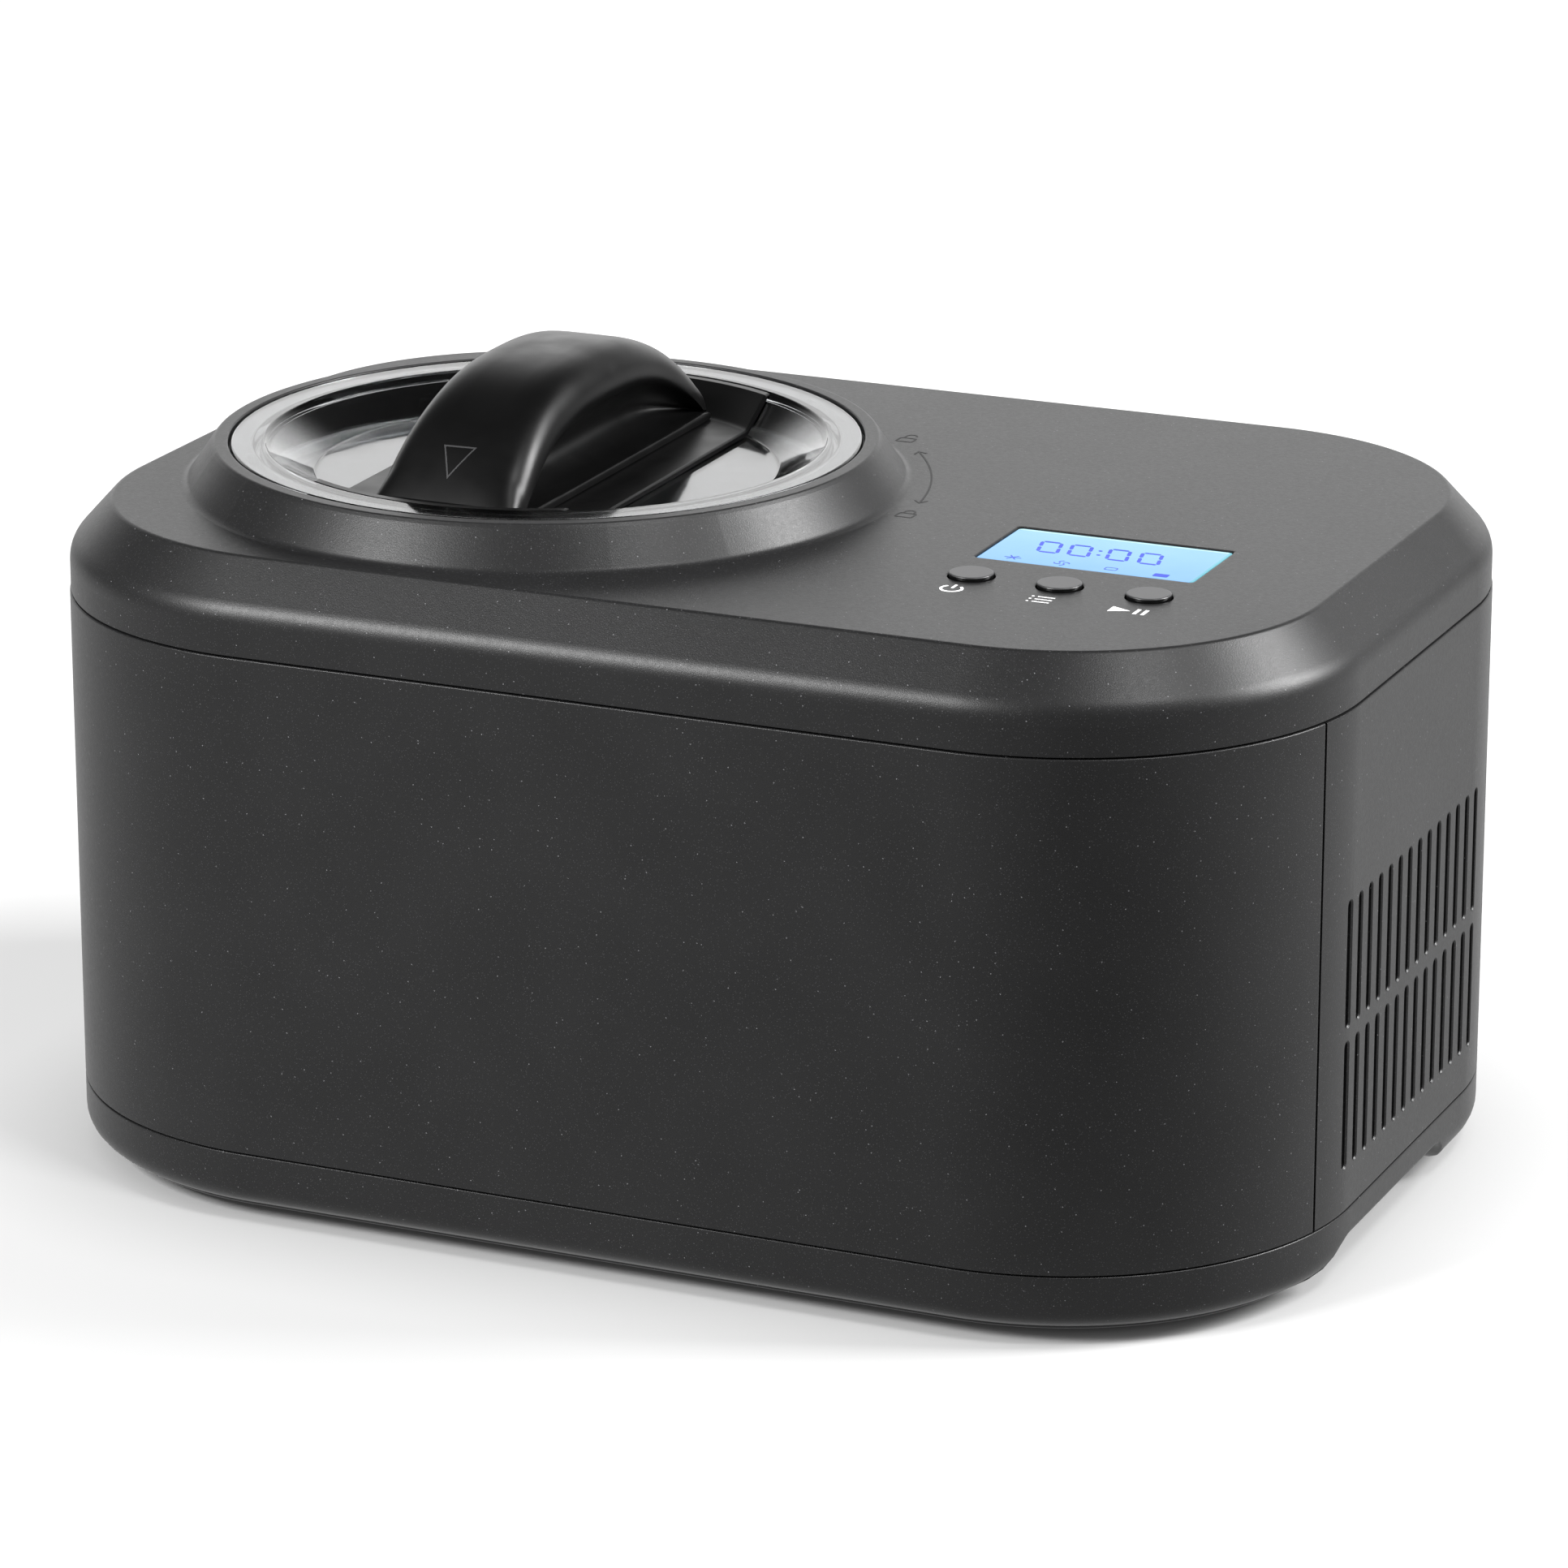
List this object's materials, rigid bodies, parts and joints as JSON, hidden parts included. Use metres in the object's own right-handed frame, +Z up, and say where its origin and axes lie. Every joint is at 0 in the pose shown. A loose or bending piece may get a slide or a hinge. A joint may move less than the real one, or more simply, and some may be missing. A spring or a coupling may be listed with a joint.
{
  "type": "frozen dessert maker",
  "caption": "Countertop compressor-cooled frozen drink and dessert maker: rounded box body with side vents, control panel, lift-out bowl, driven paddle and clear twist-lock lid.",
  "frame": {"origin": "on the ground under the middle of the body, at the level of the feet", "axes": "+X to the right seen from the front, -Y to the front, +Z up"},
  "size_m": [0.405, 0.285, 0.2434],
  "materials": {
    "body_plastic": "charcoal plastic with a fine grain and metallic flecks",
    "handle_plastic": "black satin plastic",
    "clear_plastic": "clear polished plastic",
    "rubber": "soft dark rubber",
    "silicone": "translucent silicone",
    "button_plastic": "dark grey plastic, matte",
    "display": "pale blue backlit display glass",
    "lcd_frame": "lit display body",
    "steel": "bright steel",
    "aluminium": "spun aluminium",
    "copper": "drawn copper tube",
    "nylon": "natural nylon",
    "grey_plastic": "grey moulded plastic",
    "black_plastic": "black moulded plastic",
    "foam": "rigid insulating foam",
    "board": "printed circuit board",
    "compressor_paint": "black stove enamel"
  },
  "bodies": {
    "housing": {"base_tray": "body_plastic", "front_wrap": "body_plastic", "rear_panel": "body_plastic", "right_vent_panel": "body_plastic", "left_vent_panel": "body_plastic", "top_cover": "body_plastic", "foot_1": "rubber", "foot_2": "rubber", "foot_3": "rubber", "foot_4": "rubber", "shaft_seal": "rubber", "grommet_1": "rubber", "grommet_2": "rubber", "grommet_3": "rubber", "grommet_4": "rubber", "display_window": "display", "lcd_module": "lcd_frame", "idler_axle": "steel", "gear_motor": "steel", "compressor_plate": "steel", "fan_motor": "steel", "cooling_well": "aluminium", "condenser_fins": "aluminium", "evaporator_coil": "copper", "condenser_coil": "copper", "discharge_tube": "copper", "suction_tube": "copper", "liquid_tube": "copper", "capillary_tube": "copper", "filter_drier": "copper", "gearbox_housing": "grey_plastic", "gearbox_cover": "grey_plastic", "mains_inlet": "black_plastic", "fan_shroud": "black_plastic", "insulation_jacket": "foam", "insulation_base": "foam", "button_board": "board", "control_board": "board", "compressor": "compressor_paint"},
    "bowl": {"mixing_bowl": "aluminium"},
    "paddle": {"paddle": "nylon"},
    "lid_ring": {"lid_seal": "silicone"},
    "lid": {"lid_dish": "clear_plastic", "lid_band": "handle_plastic", "lid_handle": "handle_plastic", "lid_screw_1": "steel", "lid_screw_2": "steel"},
    "drive": {"drive_shaft": "steel", "output_gear": "nylon"},
    "idler": {"idler_gear": "nylon"},
    "rotor": {"motor_pinion": "steel"},
    "fan": {"fan_rotor": "black_plastic"},
    "power_key": {"power_button": "button_plastic"},
    "menu_key": {"menu_button": "button_plastic"},
    "start_key": {"start_button": "button_plastic"}
  },
  "joints": [
    {"name": "bowl_lift", "type": "slide", "parent": "housing", "child": "bowl", "axis": [0, 0, 1], "range_m": [0, 0.16]},
    {"name": "lid_lift", "type": "slide", "parent": "bowl", "child": "lid_ring", "axis": [0, 0, 1], "range_m": [0, 0.06]},
    {"name": "lid_turn", "type": "hinge", "parent": "lid_ring", "child": "lid", "pos_m": [-0.0713, -0.0143, 0.206], "axis": [0, 0, 1], "range_deg": [-51, 0]},
    {"name": "drive_spin", "type": "hinge", "parent": "housing", "child": "drive", "pos_m": [-0.0713, -0.0143, 0.048], "axis": [0, 0, 1], "continuous": true},
    {"name": "paddle_spin", "type": "hinge", "parent": "bowl", "child": "paddle", "pos_m": [-0.0713, -0.0143, 0.0704], "axis": [0, 0, 1], "continuous": true},
    {"name": "idler_spin", "type": "hinge", "parent": "housing", "child": "idler", "pos_m": [-0.07686, 0.01721, 0.04], "axis": [0, 0, 1], "continuous": true},
    {"name": "rotor_spin", "type": "hinge", "parent": "housing", "child": "rotor", "pos_m": [-0.04486, 0.01721, 0.0395], "axis": [0, 0, 1], "continuous": true},
    {"name": "fan_spin", "type": "hinge", "parent": "housing", "child": "fan", "pos_m": [0.1525, 0, 0.078], "axis": [1, 0, 0], "continuous": true},
    {"name": "power_press", "type": "slide", "parent": "housing", "child": "power_key", "axis": [0, 0, -1], "range_m": [0, 0.0012], "stiffness_N_per_m": 400, "springref_m": -0.0006},
    {"name": "menu_press", "type": "slide", "parent": "housing", "child": "menu_key", "axis": [0, 0, -1], "range_m": [0, 0.0012], "stiffness_N_per_m": 400, "springref_m": -0.0006},
    {"name": "start_press", "type": "slide", "parent": "housing", "child": "start_key", "axis": [0, 0, -1], "range_m": [0, 0.0012], "stiffness_N_per_m": 400, "springref_m": -0.0006}
  ],
  "couplings": [
    {"joint": "paddle_spin", "follows": "drive_spin", "ratio": 1},
    {"joint": "idler_spin", "follows": "drive_spin", "ratio": -3},
    {"joint": "rotor_spin", "follows": "drive_spin", "ratio": 9}
  ]
}
